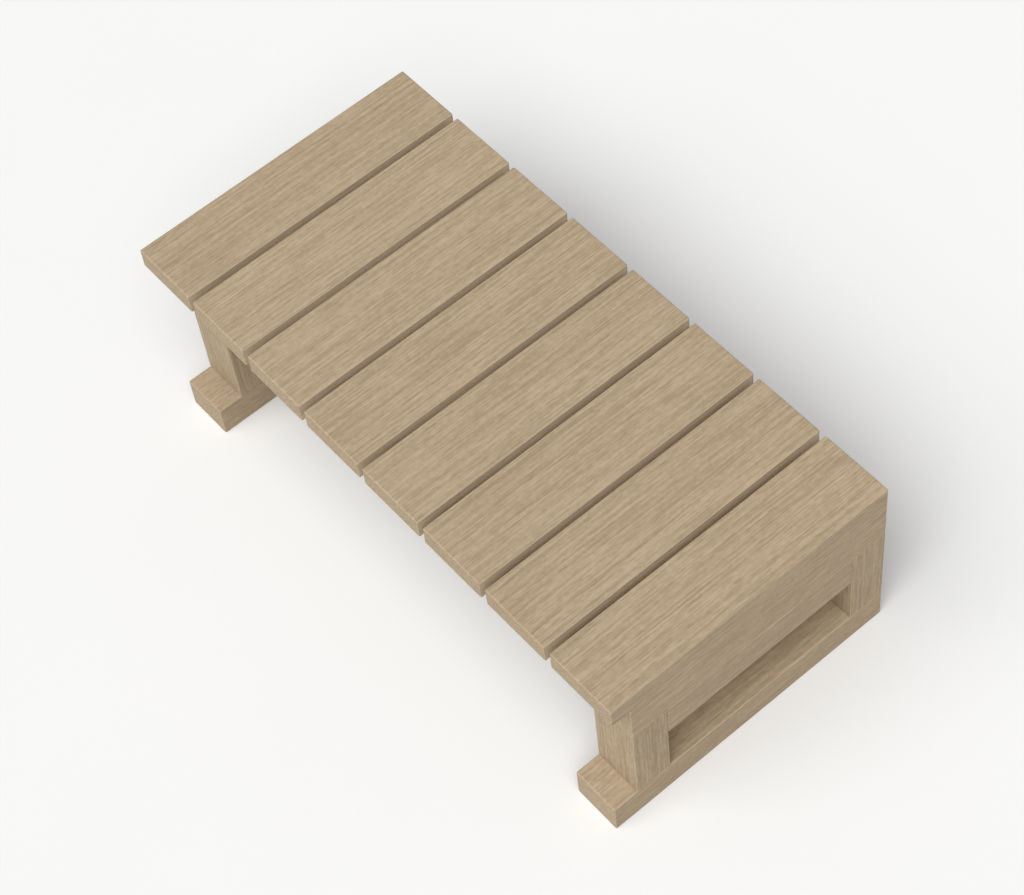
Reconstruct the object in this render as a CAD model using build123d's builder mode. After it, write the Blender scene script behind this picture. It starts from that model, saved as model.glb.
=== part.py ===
from build123d import *
import os

# Slatted timber step for a hot tub, in millimetres. The treads run from front to back and rest on
# two end frames, tied together by two bearers. X runs along the tub, the front is -Y, the floor is
# Z = 0 and the origin is the middle of the footprint.

# Driving dimensions: treads
SLAT_COUNT = 8
SLAT_WIDTH = 87
SLAT_GAP = 8
SLAT_LENGTH = 360
SLAT_THICK = 26
SLAT_EASE = 1.5

# Driving dimensions: end frames, all cut from stock of one thickness
FRAME_THICK = 58
FRAME_EASE = 1.5
FOOT_HEIGHT = 41
OPENING_HEIGHT = 70
LOWER_RAIL_HEIGHT = 45
TOP_RAIL_HEIGHT = 54
POST_DEPTH = 45
FOOT_NOSE = 7
POST_SETBACK = 23
LEFT_OVERHANG = 38

# Driving dimensions: bearers, hidden behind the front posts and under the treads
BEARER_THICK = 34
BEARER_SETBACK = 23

# Driving dimensions: fastenings
HOLE_PLAY = 0.05
DOWEL_RADIUS = 5
HOLE_SPARE = 0.5
FRAME_DOWEL_LENGTH = 50
SLAT_DOWEL_LENGTH = 36
SLAT_DOWEL_BITE = 14
DOWEL_SPREAD = 14
LOWER_RAIL_DOWEL_STEP = 11
SLAT_DOWEL_SPREAD = 133
FOOT_SCREW_RADIUS = 3
FOOT_SCREW_LENGTH = 80
FOOT_SCREW_HEAD_RADIUS = 6
FOOT_SCREW_HEAD_HEIGHT = 4
FOOT_COUNTERBORE_RADIUS = 7
FOOT_COUNTERBORE_DEPTH = 10
SLAT_SCREW_RADIUS = 2.5
SLAT_SCREW_LENGTH = 50
SLAT_SCREW_HEAD_RADIUS = 4.5
SLAT_SCREW_HEAD_HEIGHT = 3
SLAT_COUNTERBORE_RADIUS = 5.5
SLAT_COUNTERBORE_DEPTH = 20
SLAT_SCREW_SPREAD = 25
BRACKET_LEG = 40
BRACKET_WIDTH = 40
BRACKET_PLATE = 3
BRACKET_BEND = 3
BRACKET_HOLE_RADIUS = 2.3
BRACKET_HOLE_REACH = 30
BRACKET_HOLE_SPREAD = 10
BRACKET_SCREW_RADIUS = 2
BRACKET_SCREW_LENGTH = 25
BRACKET_SCREW_HEAD_RADIUS = 4
BRACKET_SCREW_HEAD_HEIGHT = 2.4
SCREW_POINT = 5

# Heights
FOOT_TOP = FOOT_HEIGHT
LOWER_RAIL_BOTTOM = FOOT_TOP + OPENING_HEIGHT
POST_TOP = LOWER_RAIL_BOTTOM + LOWER_RAIL_HEIGHT
SLAT_BOTTOM = POST_TOP + TOP_RAIL_HEIGHT
STEP_HEIGHT = SLAT_BOTTOM + SLAT_THICK

# Places along Y
STEP_DEPTH = SLAT_LENGTH + FOOT_NOSE
FOOT_FRONT = -STEP_DEPTH / 2
BACK = STEP_DEPTH / 2
SLAT_FRONT = BACK - SLAT_LENGTH
POST_FRONT = SLAT_FRONT + POST_SETBACK
OPENING_FRONT = POST_FRONT + POST_DEPTH
OPENING_BACK = BACK - POST_DEPTH
FRONT_BEARER_Y = (POST_FRONT, POST_FRONT + BEARER_THICK)
BACK_BEARER_Y = (BACK - BEARER_SETBACK - BEARER_THICK, BACK - BEARER_SETBACK)
FRONT_POST_Y = (POST_FRONT, OPENING_FRONT)
BACK_POST_Y = (OPENING_BACK, BACK)

# Places along X
SLAT_PITCH = SLAT_WIDTH + SLAT_GAP
STEP_WIDTH = SLAT_COUNT * SLAT_PITCH - SLAT_GAP
LEFT_FRAME_X = (-STEP_WIDTH / 2 + LEFT_OVERHANG, -STEP_WIDTH / 2 + LEFT_OVERHANG + FRAME_THICK)
RIGHT_FRAME_X = (STEP_WIDTH / 2 - FRAME_THICK, STEP_WIDTH / 2)
BEARER_X = (LEFT_FRAME_X[1], RIGHT_FRAME_X[0])
SLAT_X = [
    (-STEP_WIDTH / 2 + i * SLAT_PITCH, -STEP_WIDTH / 2 + i * SLAT_PITCH + SLAT_WIDTH)
    for i in range(SLAT_COUNT)
]


def middle(span):
    """The middle of a (low, high) pair."""
    return (span[0] + span[1]) / 2


def timber(x, y, z, ease):
    """Adds a square-cut timber with eased edges, between (low, high) pairs."""
    with Locations((middle(x), middle(y), middle(z))):
        Box(x[1] - x[0], y[1] - y[0], z[1] - z[0])
    fillet(edges(), ease)


def drill(start, direction, radius, depth):
    """Drills a round hole from a point, along a direction."""
    with Locations(Plane(origin=start, z_dir=direction)):
        Cylinder(
            radius, depth, align=(Align.CENTER, Align.CENTER, Align.MIN), mode=Mode.SUBTRACT
        )


def dowel(start, direction, length):
    """Adds a round dowel from a point, along a direction."""
    with Locations(Plane(origin=start, z_dir=direction)):
        Cylinder(DOWEL_RADIUS, length, align=(Align.CENTER, Align.CENTER, Align.MIN))


def screw(seat, direction, shank_radius, length, head_radius, head_height):
    """Adds a screw whose head rests on a seat and whose shank runs along a direction."""
    up = (Align.CENTER, Align.CENTER, Align.MIN)
    down = (Align.CENTER, Align.CENTER, Align.MAX)
    with Locations(Plane(origin=seat, z_dir=direction)):
        Cylinder(head_radius, head_height, align=down)
        Cylinder(shank_radius, length - SCREW_POINT, align=up)
        with Locations((0, 0, length - SCREW_POINT)):
            Cone(shank_radius, shank_radius / 4, SCREW_POINT, align=up)


def finish(part, name):
    """Labels a finished piece and writes it as a STEP file of its own."""
    part.label = name
    export_step(part, f"parts/{name}.step")


os.makedirs("parts", exist_ok=True)

# Where each fastening goes
frames = {"left": LEFT_FRAME_X, "right": RIGHT_FRAME_X}
posts = {"front": FRONT_POST_Y, "back": BACK_POST_Y}
bearers = {"front": FRONT_BEARER_Y, "back": BACK_BEARER_Y}
end_slats = {"left": SLAT_X[0], "right": SLAT_X[-1]}

post_points = [
    (middle(x) + side * DOWEL_SPREAD, middle(y))
    for x in frames.values()
    for y in posts.values()
    for side in (-1, 1)
]
lower_rail_heights = [
    POST_TOP - LOWER_RAIL_HEIGHT / 2 + side * LOWER_RAIL_DOWEL_STEP for side in (-1, 1)
]
slat_dowel_points = [
    (
        (max(end_slats[side][0], x[0]) + min(end_slats[side][1], x[1])) / 2,
        middle((SLAT_FRONT, BACK)) + place * SLAT_DOWEL_SPREAD,
    )
    for side, x in frames.items()
    for place in (-1, 0, 1)
]
slat_screw_points = [
    (middle(x) + side * SLAT_SCREW_SPREAD, middle(y))
    for x in SLAT_X[1:-1]
    for y in bearers.values()
    for side in (-1, 1)
]
bracket_heights = [
    middle((POST_TOP, SLAT_BOTTOM)) + side * BRACKET_HOLE_SPREAD for side in (-1, 1)
]
# Each inner corner of the bearers and top rails: its point, and the ways into the bay from it
corners = [
    (x, y, into_x, into_y)
    for x, into_x in ((BEARER_X[0], 1), (BEARER_X[1], -1))
    for y, into_y in ((FRONT_BEARER_Y[1], 1), (BACK_BEARER_Y[0], -1))
]

# Tread boards: the end ones are dowelled to the top rails, the others screwed from below
for number, x in enumerate(SLAT_X, start=1):
    with BuildPart() as tread_slat:
        timber(x, (SLAT_FRONT, BACK), (SLAT_BOTTOM, STEP_HEIGHT), SLAT_EASE)
        for point in slat_dowel_points:
            if x[0] < point[0] < x[1]:
                drill(
                    (*point, SLAT_BOTTOM),
                    (0, 0, 1),
                    DOWEL_RADIUS + HOLE_PLAY,
                    SLAT_DOWEL_BITE + HOLE_SPARE,
                )
        for point in slat_screw_points:
            if x[0] < point[0] < x[1]:
                drill(
                    (*point, SLAT_BOTTOM),
                    (0, 0, 1),
                    SLAT_SCREW_RADIUS + HOLE_PLAY,
                    SLAT_SCREW_LENGTH + SLAT_COUNTERBORE_DEPTH - TOP_RAIL_HEIGHT + HOLE_SPARE,
                )
    finish(tread_slat.part, f"tread_slat_{number}")

# End frames: foot rail, front and back posts, lower rail between them and top rail over them
for side, x in frames.items():
    with BuildPart() as foot_rail:
        timber(x, (FOOT_FRONT, BACK), (0, FOOT_TOP), FRAME_EASE)
        for point in post_points:
            if x[0] < point[0] < x[1]:
                drill((*point, 0), (0, 0, 1), FOOT_SCREW_RADIUS + HOLE_PLAY, FOOT_TOP)
                drill((*point, 0), (0, 0, 1), FOOT_COUNTERBORE_RADIUS, FOOT_COUNTERBORE_DEPTH)
    finish(foot_rail.part, f"{side}_foot_rail")

    for place, y in posts.items():
        with BuildPart() as post:
            timber(x, y, (FOOT_TOP, POST_TOP), FRAME_EASE)
            for point in post_points:
                if x[0] < point[0] < x[1] and y[0] < point[1] < y[1]:
                    drill(
                        (*point, FOOT_TOP),
                        (0, 0, 1),
                        FOOT_SCREW_RADIUS + HOLE_PLAY,
                        FOOT_SCREW_LENGTH + FOOT_COUNTERBORE_DEPTH - FOOT_TOP + HOLE_SPARE,
                    )
                    drill(
                        (*point, POST_TOP),
                        (0, 0, -1),
                        DOWEL_RADIUS + HOLE_PLAY,
                        FRAME_DOWEL_LENGTH / 2 + HOLE_SPARE,
                    )
            face, inward = (y[1], -1) if place == "front" else (y[0], 1)
            for height in lower_rail_heights:
                drill(
                    (middle(x), face, height),
                    (0, inward, 0),
                    DOWEL_RADIUS + HOLE_PLAY,
                    FRAME_DOWEL_LENGTH / 2 + HOLE_SPARE,
                )
        finish(post.part, f"{side}_{place}_post")

    with BuildPart() as lower_rail:
        timber(x, (OPENING_FRONT, OPENING_BACK), (LOWER_RAIL_BOTTOM, POST_TOP), FRAME_EASE)
        for face, inward in ((OPENING_FRONT, 1), (OPENING_BACK, -1)):
            for height in lower_rail_heights:
                drill(
                    (middle(x), face, height),
                    (0, inward, 0),
                    DOWEL_RADIUS + HOLE_PLAY,
                    FRAME_DOWEL_LENGTH / 2 + HOLE_SPARE,
                )
    finish(lower_rail.part, f"{side}_lower_rail")

    with BuildPart() as top_rail:
        timber(x, (POST_FRONT, BACK), (POST_TOP, SLAT_BOTTOM), FRAME_EASE)
        for point in post_points:
            if x[0] < point[0] < x[1]:
                drill(
                    (*point, POST_TOP),
                    (0, 0, 1),
                    DOWEL_RADIUS + HOLE_PLAY,
                    FRAME_DOWEL_LENGTH / 2 + HOLE_SPARE,
                )
        for point in slat_dowel_points:
            if x[0] < point[0] < x[1]:
                drill(
                    (*point, SLAT_BOTTOM),
                    (0, 0, -1),
                    DOWEL_RADIUS + HOLE_PLAY,
                    SLAT_DOWEL_LENGTH - SLAT_DOWEL_BITE + HOLE_SPARE,
                )
        for corner_x, corner_y, into_x, into_y in corners:
            if (into_x > 0) == (side == "left"):
                for height in bracket_heights:
                    drill(
                        (corner_x, corner_y + into_y * BRACKET_HOLE_REACH, height),
                        (-into_x, 0, 0),
                        BRACKET_SCREW_RADIUS + HOLE_PLAY,
                        BRACKET_SCREW_LENGTH - BRACKET_PLATE + HOLE_SPARE,
                    )
    finish(top_rail.part, f"{side}_top_rail")

# Bearers between the frames, which carry the middle treads
for place, y in bearers.items():
    with BuildPart() as bearer:
        timber(BEARER_X, y, (POST_TOP, SLAT_BOTTOM), FRAME_EASE)
        for point in slat_screw_points:
            if y[0] < point[1] < y[1]:
                drill(
                    (*point, POST_TOP),
                    (0, 0, 1),
                    SLAT_SCREW_RADIUS + HOLE_PLAY,
                    TOP_RAIL_HEIGHT,
                )
                drill(
                    (*point, POST_TOP), (0, 0, 1), SLAT_COUNTERBORE_RADIUS, SLAT_COUNTERBORE_DEPTH
                )
        for corner_x, corner_y, into_x, into_y in corners:
            if (into_y > 0) == (place == "front"):
                for height in bracket_heights:
                    drill(
                        (corner_x + into_x * BRACKET_HOLE_REACH, corner_y, height),
                        (0, -into_y, 0),
                        BRACKET_SCREW_RADIUS + HOLE_PLAY,
                        BRACKET_SCREW_LENGTH - BRACKET_PLATE + HOLE_SPARE,
                    )
    finish(bearer.part, f"{place}_bearer")

# Steel angle brackets in the four inner corners, screwed to bearer and top rail
bracket_names = ("left_front_bracket", "left_back_bracket", "right_front_bracket", "right_back_bracket")
bracket_low = middle((POST_TOP, SLAT_BOTTOM)) - BRACKET_WIDTH / 2
for name, (corner_x, corner_y, into_x, into_y) in zip(bracket_names, corners):
    with BuildPart() as bracket:
        with BuildSketch(Plane.XY.offset(bracket_low)):
            with BuildLine():
                Polyline(
                    (corner_x, corner_y),
                    (corner_x + into_x * BRACKET_LEG, corner_y),
                    (corner_x + into_x * BRACKET_LEG, corner_y + into_y * BRACKET_PLATE),
                    (corner_x + into_x * BRACKET_PLATE, corner_y + into_y * BRACKET_PLATE),
                    (corner_x + into_x * BRACKET_PLATE, corner_y + into_y * BRACKET_LEG),
                    (corner_x, corner_y + into_y * BRACKET_LEG),
                    close=True,
                )
            make_face()
        extrude(amount=BRACKET_WIDTH)
        inner_bend = bracket.edges().filter_by(Axis.Z).sort_by_distance(
            (corner_x + into_x * BRACKET_PLATE, corner_y + into_y * BRACKET_PLATE, bracket_low)
        )[0]
        fillet(inner_bend, BRACKET_BEND)
        for height in bracket_heights:
            drill(
                (corner_x + into_x * BRACKET_HOLE_REACH, corner_y, height),
                (0, into_y, 0),
                BRACKET_HOLE_RADIUS,
                BRACKET_PLATE,
            )
            drill(
                (corner_x, corner_y + into_y * BRACKET_HOLE_REACH, height),
                (into_x, 0, 0),
                BRACKET_HOLE_RADIUS,
                BRACKET_PLATE,
            )
    finish(bracket.part, name)

# Fastenings, one group for each kind
with BuildPart() as foot_screws:
    for point in post_points:
        screw(
            (*point, FOOT_COUNTERBORE_DEPTH),
            (0, 0, 1),
            FOOT_SCREW_RADIUS,
            FOOT_SCREW_LENGTH,
            FOOT_SCREW_HEAD_RADIUS,
            FOOT_SCREW_HEAD_HEIGHT,
        )
finish(foot_screws.part, "foot_screws")

with BuildPart() as slat_screws:
    for point in slat_screw_points:
        screw(
            (*point, POST_TOP + SLAT_COUNTERBORE_DEPTH),
            (0, 0, 1),
            SLAT_SCREW_RADIUS,
            SLAT_SCREW_LENGTH,
            SLAT_SCREW_HEAD_RADIUS,
            SLAT_SCREW_HEAD_HEIGHT,
        )
finish(slat_screws.part, "slat_screws")

with BuildPart() as bracket_screws:
    for corner_x, corner_y, into_x, into_y in corners:
        for height in bracket_heights:
            screw(
                (
                    corner_x + into_x * BRACKET_HOLE_REACH,
                    corner_y + into_y * BRACKET_PLATE,
                    height,
                ),
                (0, -into_y, 0),
                BRACKET_SCREW_RADIUS,
                BRACKET_SCREW_LENGTH,
                BRACKET_SCREW_HEAD_RADIUS,
                BRACKET_SCREW_HEAD_HEIGHT,
            )
            screw(
                (
                    corner_x + into_x * BRACKET_PLATE,
                    corner_y + into_y * BRACKET_HOLE_REACH,
                    height,
                ),
                (-into_x, 0, 0),
                BRACKET_SCREW_RADIUS,
                BRACKET_SCREW_LENGTH,
                BRACKET_SCREW_HEAD_RADIUS,
                BRACKET_SCREW_HEAD_HEIGHT,
            )
finish(bracket_screws.part, "bracket_screws")

with BuildPart() as frame_dowels:
    for point in post_points:
        dowel((*point, POST_TOP - FRAME_DOWEL_LENGTH / 2), (0, 0, 1), FRAME_DOWEL_LENGTH)
    for x in frames.values():
        for face in (OPENING_FRONT, OPENING_BACK):
            for height in lower_rail_heights:
                start = (middle(x), face - FRAME_DOWEL_LENGTH / 2, height)
                dowel(start, (0, 1, 0), FRAME_DOWEL_LENGTH)
finish(frame_dowels.part, "frame_dowels")

with BuildPart() as slat_dowels:
    for point in slat_dowel_points:
        start = (*point, SLAT_BOTTOM + SLAT_DOWEL_BITE - SLAT_DOWEL_LENGTH)
        dowel(start, (0, 0, 1), SLAT_DOWEL_LENGTH)
finish(slat_dowels.part, "slat_dowels")
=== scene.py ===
import math
import random

import bpy
from mathutils import Euler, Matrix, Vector


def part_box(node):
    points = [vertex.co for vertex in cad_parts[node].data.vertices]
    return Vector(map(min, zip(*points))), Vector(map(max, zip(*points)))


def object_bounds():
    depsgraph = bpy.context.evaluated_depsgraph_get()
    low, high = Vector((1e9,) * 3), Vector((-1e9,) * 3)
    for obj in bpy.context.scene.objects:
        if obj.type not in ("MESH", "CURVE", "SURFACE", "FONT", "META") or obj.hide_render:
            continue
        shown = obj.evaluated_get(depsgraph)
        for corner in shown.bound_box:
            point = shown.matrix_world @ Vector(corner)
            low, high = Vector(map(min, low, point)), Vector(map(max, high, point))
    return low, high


# Looks for the slatted spa step: brushed oak boards, zinc steel brackets and screws, beech dowels,
# a pale floor, soft light and a camera. Lengths are in metres and colours are linear.

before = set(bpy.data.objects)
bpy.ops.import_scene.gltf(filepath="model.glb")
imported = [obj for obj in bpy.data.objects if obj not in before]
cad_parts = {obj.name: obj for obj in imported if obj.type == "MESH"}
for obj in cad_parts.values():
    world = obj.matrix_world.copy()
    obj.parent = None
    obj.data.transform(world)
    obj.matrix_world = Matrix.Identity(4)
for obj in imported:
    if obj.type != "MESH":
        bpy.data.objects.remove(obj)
cad_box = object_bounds()

# Timber colours
OAK_LIGHT = (0.468, 0.361, 0.239)
OAK_DARK = (0.298, 0.225, 0.142)
OAK_PORE = (0.192, 0.138, 0.084)
# Painted highlight colour for the arrises
OAK_ARRIS_HIGHLIGHT = (0.458, 0.357, 0.240)
# Painted light for the tread boards' sides in the gaps, a paler oak that lifts the shade there
OAK_GAP_PAINTED_LIGHT = (0.630, 0.510, 0.370)
BEECH_LIGHT = (0.60, 0.43, 0.26)
BEECH_DARK = (0.47, 0.31, 0.17)
BEECH_FLECK = (0.30, 0.17, 0.08)

# Metal and floor colours
ZINC_LIGHT = (0.66, 0.67, 0.67)
ZINC_DARK = (0.46, 0.47, 0.48)
FLOOR_LIGHT = (0.76, 0.76, 0.755)
FLOOR_DARK = (0.74, 0.74, 0.735)

# How the oak is cut: the pith lies this far from a board's middle and at this angle to its faces, so
# the growth rings cross every face as nearly straight lines. LOG_REACH is how far apart in the
# pattern the boards are cut, in metres either way from its origin.
RING_WIDTH = 0.0042
PITH_DISTANCES = (0.35, 0.60)
PITH_ANGLES = (36, 54)
RING_WANDER = 0.009
LOG_REACH = 9
TONE_SPREAD = 0.02

# The size of each grain pattern, as features to the metre: across the grain twice, then along it
DRIFT = (5, 5, 1.6)
RING_PATCHES = (30, 30, 2)
STREAKS = (350, 350, 14)
FIBRES = (720, 720, 55)
BLOTCHES = (11, 11, 4)
MOTTLE = (230, 230, 180)
PORES = (1000, 1000, 60)

# Noise lies about 0.5. These are the values between which a soft or a crisp pattern goes from 0 to 1,
# and above which pores and flecks begin.
SOFT = (0.3, 0.7)
CRISP = (0.34, 0.66)
PORE_EDGE = (0.58, 0.70)
FLECK_EDGE = (0.6, 0.7)

# Patterns that vary only with the distance from the pith, as features to the metre, and by how many
# rings at most the unevenness shifts the rings
BANDS = 260
UNEVENNESS = 70
RING_SHIFT = 3.0

# Where in a ring, counted from 0 to 1 outwards, the late wood sets in and the early wood fades out,
# and how strong the pores are in late and in early wood
LATE_WOOD = (0.35, 0.97)
EARLY_WOOD = (0.05, 0.45)
PORE_SHARES = (0.25, 0.8)

# How much each pattern darkens the oak, the least and most that a growth ring does, and how far the
# pores take their own colour
DARKENING = {"bands": 0.10, "streaks": 0.36, "fibres": 0.30, "blotches": 0.08, "mottle": 0.20}
RING_DARKENING = (0.04, 0.30)
PORE_DARKENING = 0.45

# The brushed relief: how far each pattern stands up, as a share of the depth, or is cut in if
# negative. Then how rough and how shiny the oak is.
RELIEF = {"late_wood": 0.3, "streaks": -0.35, "fibres": -0.35, "pores": -0.8}
OAK_RELIEF_DEPTH = 0.00025
OAK_ROUGHNESS = (0.66, 0.78)
OAK_SPECULAR = 0.25

# Arrises lightened as a painted highlight, and the tread boards' sides in their gaps painted paler
# as painted light against the shade there: how strong each is, how near the side's surface a point
# must be, and how far the painted light stays from the boards' ends and from the step's outer sides
ARRIS_HIGHLIGHT_WIDTH = 0.0016
ARRIS_HIGHLIGHT_STRENGTH = 0.4
GAP_PAINTED_LIGHT_STRENGTH = 0.55
GAP_SIDE_DEPTH = 0.0004
GAP_END_MARGIN = 0.0016
OUTER_SIDE_MARGIN = 0.001

# Zinc: crystals and scuffs to the metre, how much the crystals darken it, its relief and roughness
ZINC_CRYSTALS = 260
ZINC_SCUFFS = (900, 900, 900)
ZINC_DARKENING = 0.6
ZINC_RELIEF_DEPTH = 0.00005
ZINC_ROUGHNESS = (0.34, 0.52)

# Beech: fibres and flecks to the metre along X, Y and Z, how strong the flecks are, its relief and
# roughness
BEECH_FIBRES = (700, 700, 60)
BEECH_FLECKS = (1200, 1200, 300)
FLECK_STRENGTH = 0.6
BEECH_RELIEF_DEPTH = 0.0001
BEECH_ROUGHNESS = (0.5, 0.65)

# Floor: how fine its faint mottle is, to the metre, then its relief, roughness and size
FLOOR_MOTTLE = (3, 3, 3)
FLOOR_RELIEF_DEPTH = 0.0001
FLOOR_ROUGHNESS = (0.8, 0.9)
FLOOR_SIZE = 30

# Light: an even surround, a broad key lamp from the front right and a weaker one from the front.
# Each lamp has its azimuth and elevation in degrees, its strength and its width in degrees.
SURROUND = 0.24
LAMPS = {
    "key": (46, 57, 2.42, 50),
    "fill": (350, 50, 1.50, 50),
}

# Camera: from front right, high above the step
CAMERA_AZIMUTH = math.radians(56.5)
CAMERA_ELEVATION = math.radians(56.0)
CAMERA_ROLL = math.radians(-8.2)
CAMERA_DISTANCE = 2.80
CAMERA_LENS = 93
AIM = Vector((0.004, 0.004, 0.088))


class Nodes:
    """Adds shader nodes to a tree. An input is a number, a colour or another node's output."""

    def __init__(self, tree):
        self.tree = tree
        tree.nodes.clear()

    def feed(self, socket, value):
        """Links an output to a socket, or sets the socket's own value."""
        if isinstance(value, bpy.types.NodeSocket):
            self.tree.links.new(value, socket)
        elif socket.type == "RGBA":
            socket.default_value = (*value, 1)
        else:
            socket.default_value = value

    def add(self, kind, settings=None, inputs=None):
        """Adds a node with these settings and inputs, and returns it."""
        node = self.tree.nodes.new(kind)
        for name, value in (settings or {}).items():
            setattr(node, name, value)
        for name, value in (inputs or {}).items():
            self.feed(node.inputs[name], value)
        return node

    def math(self, operation, *values):
        """A math node's result."""
        node = self.add("ShaderNodeMath", {"operation": operation}, dict(enumerate(values)))
        return node.outputs[0]

    def total(self, *values):
        """The sum of several values."""
        result = values[0]
        for value in values[1:]:
            result = self.math("ADD", result, value)
        return result

    def weighted(self, patterns, weights):
        """The named patterns, each times its weight."""
        return [self.math("MULTIPLY", patterns[name], weight) for name, weight in weights.items()]

    def vector(self, operation, *values):
        """A vector math node's vector."""
        node = self.add("ShaderNodeVectorMath", {"operation": operation}, dict(enumerate(values)))
        return node.outputs[0]

    def place(self):
        """Where a point is, in metres in the step's own frame."""
        return self.add("ShaderNodeTexCoord").outputs["Object"]

    def noise(self, place, features, detail=2):
        """Noise with so many features to the metre along X, Y and Z."""
        inputs = {"Vector": self.vector("MULTIPLY", place, features), "Scale": 1, "Detail": detail}
        return self.add("ShaderNodeTexNoise", inputs=inputs).outputs[0]

    def noise_line(self, distance, features, detail=2):
        """Noise along one line, with so many features to the metre."""
        inputs = {"W": self.math("MULTIPLY", distance, features), "Scale": 1, "Detail": detail}
        return self.add("ShaderNodeTexNoise", {"noise_dimensions": "1D"}, inputs).outputs[0]

    def remap(self, value, low, high, to_low=0, to_high=1):
        """Takes low...high smoothly to to_low...to_high, and holds those outside it."""
        inputs = {
            "Value": value,
            "From Min": low,
            "From Max": high,
            "To Min": to_low,
            "To Max": to_high,
        }
        node = self.add("ShaderNodeMapRange", {"interpolation_type": "SMOOTHSTEP"}, inputs)
        return node.outputs[0]

    def blend(self, amount, a, b):
        """Colour a where the amount is 0 and colour b where it is 1."""
        node = self.add("ShaderNodeMix", {"data_type": "RGBA"}, {0: amount, 6: a, 7: b})
        return node.outputs[2]

    def surface(self, color, roughness, height, depth, constants):
        """Ends the tree in a Principled surface with a bump of this depth in metres."""
        bump = self.add("ShaderNodeBump", inputs={"Height": height, "Distance": depth})
        inputs = {"Base Color": color, "Roughness": roughness, "Normal": bump.outputs[0]}
        shader = self.add("ShaderNodeBsdfPrincipled", inputs=inputs | constants)
        self.add("ShaderNodeOutputMaterial", inputs={"Surface": shader.outputs[0]})


def new_material(name):
    """A new material and the Nodes that build it."""
    material = bpy.data.materials.new(name)
    material.use_nodes = True
    return material, Nodes(material.node_tree)


def scaled(color, factor):
    """A colour made lighter or darker."""
    return tuple(channel * factor for channel in color)


def grain_place(nodes, local, along):
    """A point's place in a board, turned so that the grain runs along Z."""
    parts = nodes.add("ShaderNodeSeparateXYZ", inputs={0: local}).outputs
    across = [parts[axis] for axis in range(3) if axis != along]
    turned = nodes.add("ShaderNodeCombineXYZ", inputs={0: across[0], 1: across[1], 2: parts[along]})
    return turned.outputs[0]


def arris_highlight_mask(nodes, local, half_size):
    """1 on a board's arrises, where a painted highlight goes, fading to 0 a little way in from them."""
    depths = nodes.vector("SUBTRACT", half_size, nodes.vector("ABSOLUTE", local))
    x, y, z = nodes.add("ShaderNodeSeparateXYZ", inputs={0: depths}).outputs
    nearer = nodes.math("MINIMUM", x, y)
    farther = nodes.math("MAXIMUM", x, y)
    second_least = nodes.math("MAXIMUM", nearer, nodes.math("MINIMUM", farther, z))
    return nodes.remap(second_least, 0, ARRIS_HIGHLIGHT_WIDTH, 1, 0)


def gap_painted_light_mask(nodes, local, half_size):
    """1 on a tread board's sides in the gaps, which get a paler oak as painted light against their
    shade, and 0 elsewhere.
    """
    x, y, _ = nodes.add("ShaderNodeSeparateXYZ", inputs={0: nodes.vector("ABSOLUTE", local)}).outputs
    x_in_step = nodes.add("ShaderNodeSeparateXYZ", inputs={0: nodes.place()}).outputs[0]
    on_side = nodes.math("GREATER_THAN", x, half_size.x - GAP_SIDE_DEPTH)
    off_end = nodes.math("LESS_THAN", y, half_size.y - GAP_END_MARGIN)
    outer_side = cad_box[1].x - OUTER_SIDE_MARGIN
    inner = nodes.math("LESS_THAN", nodes.math("ABSOLUTE", x_in_step), outer_side)
    return nodes.math("MULTIPLY", nodes.math("MULTIPLY", on_side, off_end), inner)


def ring_radius(nodes, turned, place, pith):
    """How far a point is from the pith, with a slow wander along the grain."""
    drift_place = nodes.vector("MULTIPLY", place, DRIFT)
    drift = nodes.add("ShaderNodeTexNoise", inputs={"Vector": drift_place, "Scale": 1, "Detail": 1})
    wander = nodes.vector("MULTIPLY", drift.outputs[1], (RING_WANDER, RING_WANDER, 0))
    from_pith = nodes.vector("SUBTRACT", nodes.vector("ADD", turned, wander), pith)
    flat = nodes.vector("MULTIPLY", from_pith, (1, 1, 0))
    return nodes.add("ShaderNodeVectorMath", {"operation": "LENGTH"}, {0: flat}).outputs["Value"]


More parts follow.
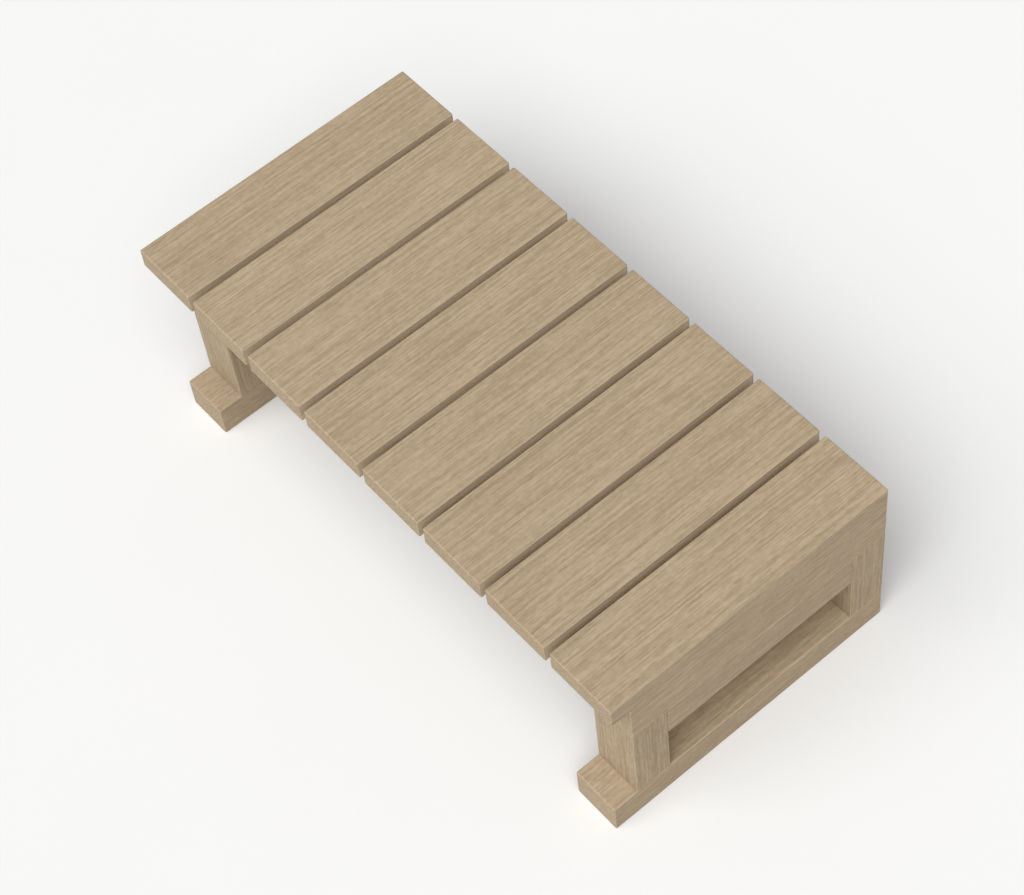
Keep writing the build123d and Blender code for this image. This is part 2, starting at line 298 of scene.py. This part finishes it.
def oak(name, low, high, dice):
    """Brushed oak for one board, cut from its own part of the log, with the grain along the board."""
    material, nodes = new_material(name)
    size = high - low
    along = max(range(3), key=lambda axis: size[axis])
    offset = Vector([dice.uniform(-LOG_REACH, LOG_REACH) for _ in range(3)])
    angle = math.radians(dice.uniform(*PITH_ANGLES) + 90 * dice.randrange(4))
    distance = dice.uniform(*PITH_DISTANCES)
    pith = Vector((math.cos(angle) * distance, math.sin(angle) * distance, 0))
    tone = 1 + dice.uniform(-TONE_SPREAD, TONE_SPREAD)

    local = nodes.vector("SUBTRACT", nodes.place(), (low + high) / 2)
    turned = grain_place(nodes, local, along)
    place = nodes.vector("ADD", turned, offset)

    # Growth rings of uneven width: each darkens slowly outwards and ends sharply
    radius = ring_radius(nodes, turned, place, pith)
    rings = nodes.math("DIVIDE", radius, RING_WIDTH)
    uneven = nodes.math("MULTIPLY", nodes.noise_line(radius, UNEVENNESS), RING_SHIFT)
    phase = nodes.math("FRACT", nodes.math("ADD", rings, uneven))
    late_wood = nodes.remap(phase, *LATE_WOOD)
    early_wood = nodes.remap(phase, *EARLY_WOOD, 1, 0)
    ring_strength = nodes.remap(nodes.noise(place, RING_PATCHES), *SOFT, *RING_DARKENING)

    # Bands follow the rings; streaks, fibres and pores are much longer than they are wide
    fibres = nodes.remap(nodes.noise(place, FIBRES), *CRISP)
    pore_spots = nodes.remap(nodes.noise(place, PORES, 1), *PORE_EDGE)
    patterns = {
        "late_wood": late_wood,
        "bands": nodes.remap(nodes.noise_line(radius, BANDS, 3), *SOFT),
        "streaks": nodes.remap(nodes.noise(place, STREAKS, 3), *CRISP),
        "fibres": fibres,
        "blotches": nodes.remap(nodes.noise(place, BLOTCHES), *SOFT),
        "mottle": nodes.remap(nodes.noise(place, MOTTLE, 3), *CRISP),
        "pores": nodes.math("MULTIPLY", pore_spots, nodes.remap(early_wood, 0, 1, *PORE_SHARES)),
    }

    ring_shade = nodes.math("MULTIPLY", late_wood, ring_strength)
    darkness = nodes.total(ring_shade, *nodes.weighted(patterns, DARKENING))
    color = nodes.blend(darkness, scaled(OAK_LIGHT, tone), scaled(OAK_DARK, tone))
    pore_shade = nodes.math("MULTIPLY", patterns["pores"], PORE_DARKENING)
    color = nodes.blend(pore_shade, color, scaled(OAK_PORE, tone))
    # The arrises are lightened as a painted highlight
    arris_highlight = nodes.math("MULTIPLY", arris_highlight_mask(nodes, local, size / 2), ARRIS_HIGHLIGHT_STRENGTH)
    color = nodes.blend(arris_highlight, color, scaled(OAK_ARRIS_HIGHLIGHT, tone))
    # The tread boards' sides in the gaps are painted paler, as painted light against the shade in the
    # gaps
    if "slat" in name:
        gap_painted_light = nodes.math("MULTIPLY", gap_painted_light_mask(nodes, local, size / 2), GAP_PAINTED_LIGHT_STRENGTH)
        color = nodes.blend(gap_painted_light, color, OAK_GAP_PAINTED_LIGHT)

    roughness = nodes.remap(fibres, 0, 1, *OAK_ROUGHNESS)
    height = nodes.total(*nodes.weighted(patterns, RELIEF))
    constants = {"Specular IOR Level": OAK_SPECULAR}
    nodes.surface(color, roughness, height, OAK_RELIEF_DEPTH, constants)
    return material


def zinc():
    """Dull zinc plating with a faint crystal pattern."""
    material, nodes = new_material("zinc_steel")
    place = nodes.place()
    cells = nodes.add("ShaderNodeTexVoronoi", inputs={"Vector": place, "Scale": ZINC_CRYSTALS})
    crystal = nodes.add("ShaderNodeSeparateColor", inputs={0: cells.outputs["Color"]}).outputs[0]
    scuffs = nodes.noise(place, ZINC_SCUFFS, 3)
    color = nodes.blend(nodes.math("MULTIPLY", crystal, ZINC_DARKENING), ZINC_LIGHT, ZINC_DARK)
    roughness = nodes.remap(scuffs, *SOFT, *ZINC_ROUGHNESS)
    nodes.surface(color, roughness, scuffs, ZINC_RELIEF_DEPTH, {"Metallic": 1})
    return material


def beech():
    """Turned beech with short dark flecks."""
    material, nodes = new_material("dowel_beech")
    place = nodes.place()
    fibres = nodes.remap(nodes.noise(place, BEECH_FIBRES), *SOFT)
    flecks = nodes.remap(nodes.noise(place, BEECH_FLECKS, 1), *FLECK_EDGE)
    color = nodes.blend(fibres, BEECH_LIGHT, BEECH_DARK)
    color = nodes.blend(nodes.math("MULTIPLY", flecks, FLECK_STRENGTH), color, BEECH_FLECK)
    roughness = nodes.remap(fibres, 0, 1, *BEECH_ROUGHNESS)
    nodes.surface(color, roughness, fibres, BEECH_RELIEF_DEPTH, {})
    return material


def show(node_name, material):
    """Gives a CAD node its material."""
    cad_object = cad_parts[node_name]
    if not cad_object.material_slots:
        cad_object.data.materials.append(material)
    for slot in cad_object.material_slots:
        slot.material = material


def pale_floor():
    """A wide plain floor."""
    material, nodes = new_material("floor")
    mottle = nodes.noise(nodes.place(), FLOOR_MOTTLE)
    color = nodes.blend(mottle, FLOOR_LIGHT, FLOOR_DARK)
    roughness = nodes.remap(mottle, *SOFT, *FLOOR_ROUGHNESS)
    nodes.surface(color, roughness, mottle, FLOOR_RELIEF_DEPTH, {})
    mesh = bpy.data.meshes.new("floor")
    half = FLOOR_SIZE / 2
    corners = [(-half, -half, 0), (half, -half, 0), (half, half, 0), (-half, half, 0)]
    mesh.from_pydata(corners, [], [(0, 1, 2, 3)])
    mesh.materials.append(material)
    floor = bpy.data.objects.new("floor", mesh)
    bpy.context.scene.collection.objects.link(floor)


def direction(azimuth, elevation):
    """The way out from the step at these angles: azimuth 0 is the front, 90 the right."""
    level = math.cos(elevation)
    return Vector((math.sin(azimuth) * level, -math.cos(azimuth) * level, math.sin(elevation)))


def soft_light():
    """The pale surround and the broad lamps."""
    world = bpy.data.worlds.new("studio")
    world.use_nodes = True
    background = world.node_tree.nodes["Background"]
    background.inputs["Color"].default_value = (1, 1, 1, 1)
    background.inputs["Strength"].default_value = SURROUND
    bpy.context.scene.world = world
    for name, (azimuth, elevation, strength, width) in LAMPS.items():
        lamp = bpy.data.lights.new(name, "SUN")
        lamp.energy = strength
        lamp.angle = math.radians(width)
        towards = direction(math.radians(azimuth), math.radians(elevation))
        light = bpy.data.objects.new(name, lamp)
        light.rotation_euler = towards.to_track_quat("Z", "Y").to_euler()
        bpy.context.scene.collection.objects.link(light)


def photo_camera():
    """The camera, aimed a little below the middle of the step and rolled a little."""
    back = direction(CAMERA_AZIMUTH, CAMERA_ELEVATION)
    roll = Euler((0, 0, CAMERA_ROLL)).to_quaternion()
    data = bpy.data.cameras.new("camera")
    data.lens = CAMERA_LENS
    camera = bpy.data.objects.new("camera", data)
    camera.location = AIM + back * CAMERA_DISTANCE
    camera.rotation_euler = (back.to_track_quat("Z", "Y") @ roll).to_euler()
    bpy.context.scene.collection.objects.link(camera)
    bpy.context.scene.camera = camera


# Every board has oak of its own, and the metal and the dowels share one material each
steel = zinc()
pegs = beech()
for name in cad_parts:
    if name.endswith(("_bracket", "_screws")):
        show(name, steel)
    elif name.endswith("_dowels"):
        show(name, pegs)
    else:
        show(name, oak(f"oak_{name}", *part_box(name), random.Random(name)))

pale_floor()
soft_light()
photo_camera()
bpy.context.scene.view_settings.view_transform = "Standard"
